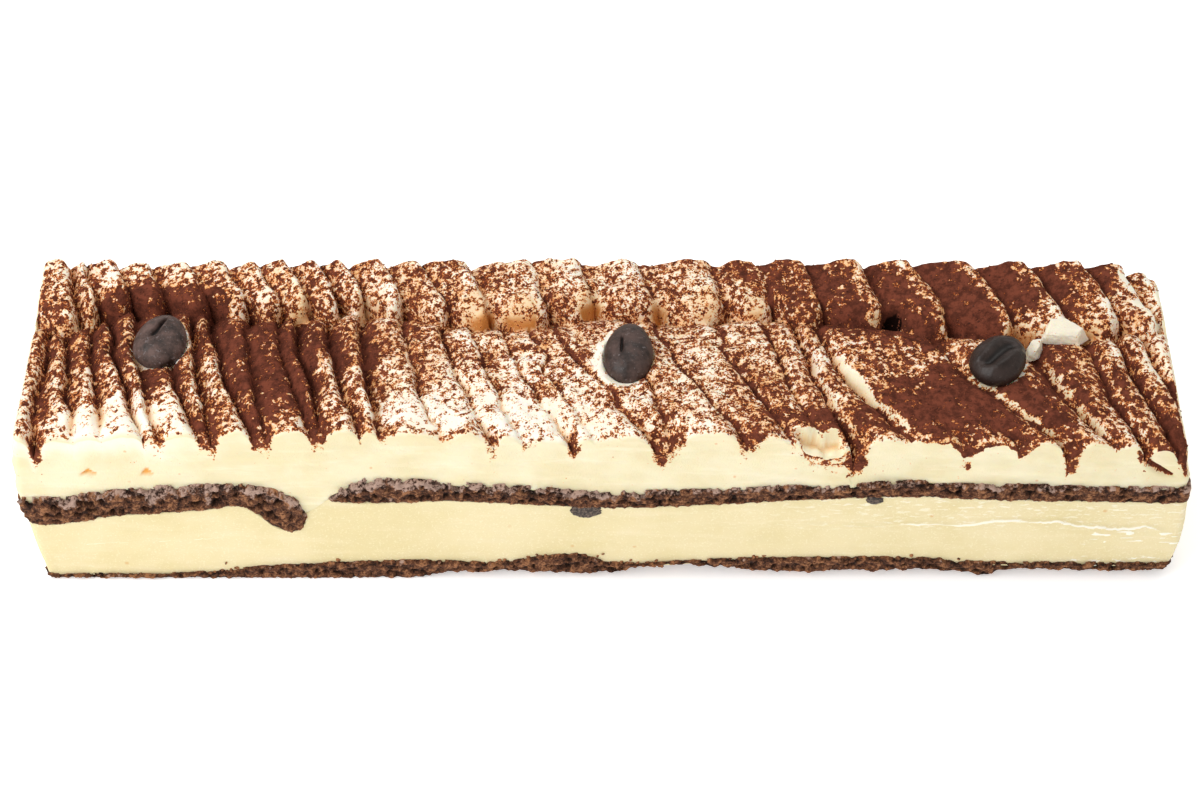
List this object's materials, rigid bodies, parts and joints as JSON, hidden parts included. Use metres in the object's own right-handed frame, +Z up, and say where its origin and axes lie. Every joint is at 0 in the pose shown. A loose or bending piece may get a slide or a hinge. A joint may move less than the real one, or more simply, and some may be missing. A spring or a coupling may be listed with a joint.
{
  "type": "tiramisu mousse cake",
  "caption": "Long layered mousse cake cut to a block: chocolate sponge between pale mousse layers, cocoa-dusted cream on top in slanting knife strokes, with chocolate coffee beans.",
  "frame": {"origin": "centre of the base, on the surface that the cake stands on", "axes": "+X along the cake's length, to the right as seen from the front cut face; +Y from the front cut face to the back; +Z up"},
  "size_m": [0.3556, 0.077, 0.0684],
  "materials": {
    "sponge": "matte, open-pored dark chocolate sponge",
    "mousse": "soft satin, knife-cut pale yellow mousse",
    "cream": "soft satin cream, dusted on top with matte cocoa powder",
    "bean_chocolate": "satin dark chocolate with a slight grey bloom",
    "drop_chocolate": "dull wrinkled dark chocolate"
  },
  "bodies": {
    "root": {"base_sponge": "sponge", "lower_mousse": "mousse", "middle_sponge_left": "sponge", "middle_sponge_right": "sponge", "top_cream": "cream", "coffee_bean_left": "bean_chocolate", "coffee_bean_middle": "bean_chocolate", "coffee_bean_right": "bean_chocolate", "chocolate_drop_left": "drop_chocolate", "chocolate_drop_right": "drop_chocolate"}
  },
  "joints": []
}
